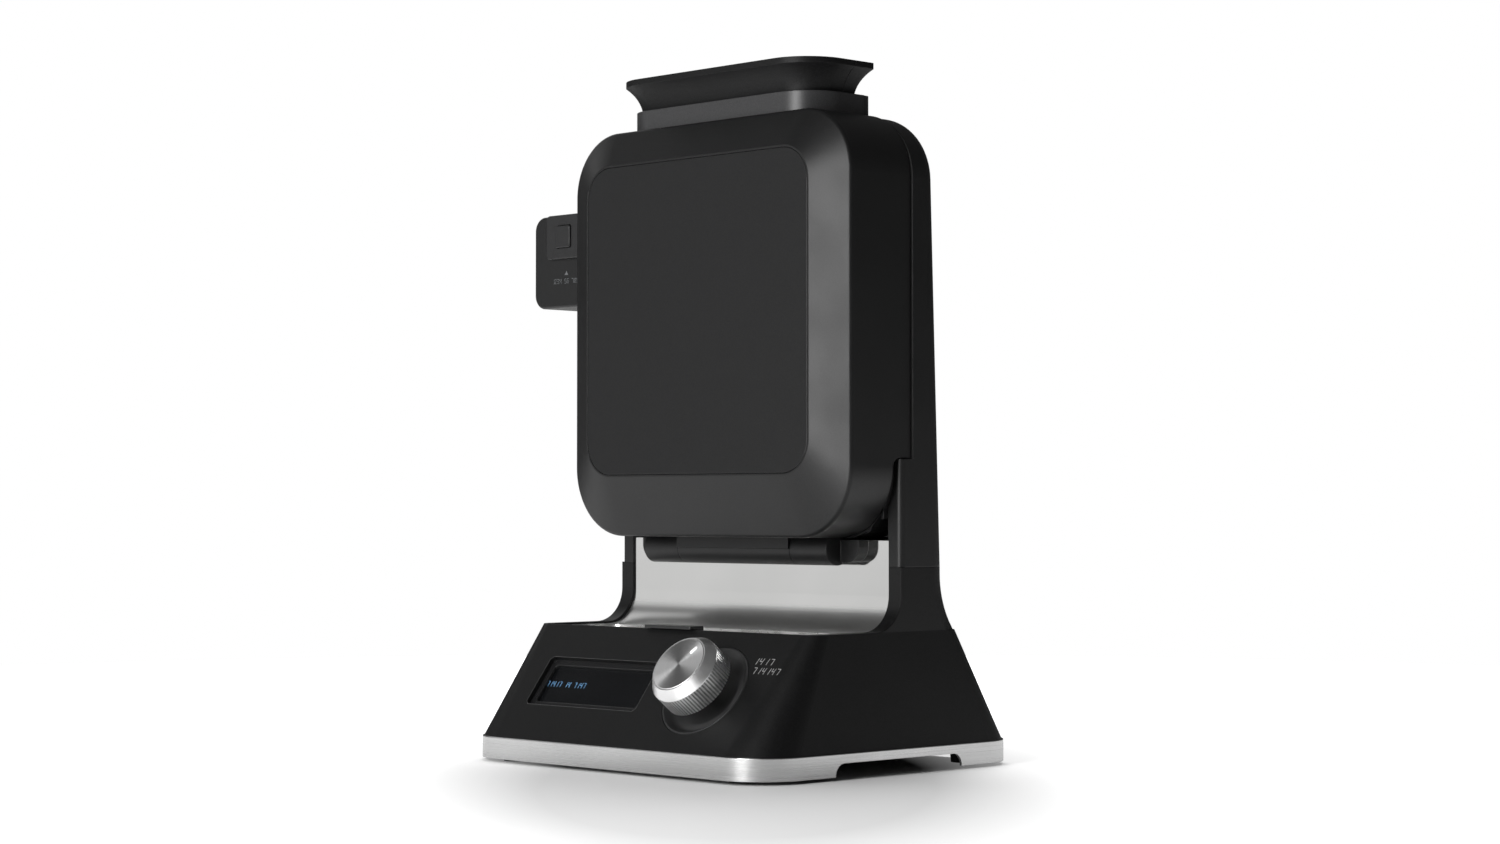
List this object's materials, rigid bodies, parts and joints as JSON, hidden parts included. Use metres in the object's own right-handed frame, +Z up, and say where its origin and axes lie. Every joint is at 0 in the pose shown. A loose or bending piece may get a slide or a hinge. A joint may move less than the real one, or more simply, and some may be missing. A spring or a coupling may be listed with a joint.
{
  "type": "waffle maker",
  "caption": "Upright waffle maker: batter is poured in a top funnel between two vertical plates; the front opens as a door on a low hinge.",
  "frame": {"origin": "on the table, under the middle of the base's footprint", "axes": "+Z up, -Y to the front of the machine, +X to the right of a person who stands in front of it"},
  "size_m": [0.3, 0.227, 0.4165],
  "materials": {
    "black_shell": "satin",
    "panel_black": "fine satin",
    "collar_grey": "satin",
    "polished_steel": "polished",
    "band_steel": "brushed along its length",
    "knob_silver": "fine fluting, bright",
    "cap_spun": "spun",
    "dish_grey": "satin",
    "display_frame": "gloss",
    "lens_dark": "gloss",
    "button_dark": "satin",
    "plate_coated": "non-stick coating",
    "heater_steel": "dull",
    "reflector_sheet": "bright",
    "screw_steel": "plated",
    "pin_steel": "ground",
    "bush_brass": "turned",
    "foot_rubber": "moulded",
    "board_green": "circuit board",
    "control_black": "moulded",
    "wire_white": "silicone"
  },
  "bodies": {
    "root": {"base_shell": "black_shell", "base_trim_band": "band_steel", "base_pan": "control_black", "rubber_feet": "foot_rubber", "base_screws": "screw_steel", "tower_screws": "screw_steel", "display_bezel": "display_frame", "display_lens": "lens_dark", "display_module": "control_black", "control_board": "board_green", "dial_encoder": "heater_steel", "dial_dish": "dish_grey", "power_board": "board_green", "cord_gland": "foot_rubber", "splash_panel": "polished_steel", "tower_frame": "black_shell", "collar_rear": "collar_grey", "rear_plate_housing": "black_shell", "rear_housing_cover": "heater_steel", "housing_screws": "screw_steel", "hinge_bracket": "black_shell", "hinge_screws": "screw_steel", "rear_cook_plate": "plate_coated", "rear_heater": "heater_steel", "rear_reflector": "reflector_sheet", "thermostat": "control_black", "thermal_fuse": "heater_steel", "wire_harness": "wire_white", "funnel_rear": "black_shell", "handle_rear": "black_shell", "latch_keeper": "pin_steel"},
    "door": {"door_shell": "black_shell", "door_panel": "panel_black", "door_inner_frame": "black_shell", "door_screws": "screw_steel", "front_cook_plate": "plate_coated", "front_heater": "heater_steel", "front_reflector": "reflector_sheet", "funnel_front": "black_shell", "funnel_collar": "collar_grey", "handle_front": "black_shell", "latch_block": "button_dark", "hook_pin": "pin_steel", "door_knuckle": "black_shell", "hinge_bushes": "bush_brass", "hinge_pin": "pin_steel"},
    "latch_button": {"latch_button": "button_dark", "button_spring": "pin_steel"},
    "latch_hook": {"latch_hook": "pin_steel"},
    "dial": {"dial_knob": "knob_silver", "dial_cap": "cap_spun", "dial_shaft": "pin_steel"},
    "tray": {"drip_tray": "polished_steel", "tray_tab": "button_dark"}
  },
  "joints": [
    {"name": "door_hinge", "type": "hinge", "parent": "root", "child": "door", "pos_m": [0, 0.0024, 0.1287], "axis": [1, 0, 0], "range_deg": [0, 75]},
    {"name": "button_slide", "type": "slide", "parent": "door", "child": "latch_button", "axis": [0, 1, 0], "range_m": [0, 0.0025], "stiffness_N_per_m": 500, "springref_m": -0.001},
    {"name": "hook_pivot", "type": "hinge", "parent": "door", "child": "latch_hook", "pos_m": [-0.15, 0, 0.325], "axis": [0, 0, 1], "range_deg": [0, 14]},
    {"name": "dial_turn", "type": "hinge", "parent": "root", "child": "dial", "pos_m": [0.0572, -0.08407, 0.04882], "axis": [0, -0.7916, 0.611], "range_deg": [-120, 120]},
    {"name": "tray_lift", "type": "slide", "parent": "root", "child": "tray", "axis": [0, 0, 1], "range_m": [0, 0.012]}
  ],
  "couplings": [
    {"joint": "hook_pivot", "follows": "button_slide", "rad_per_m": 97.7}
  ]
}
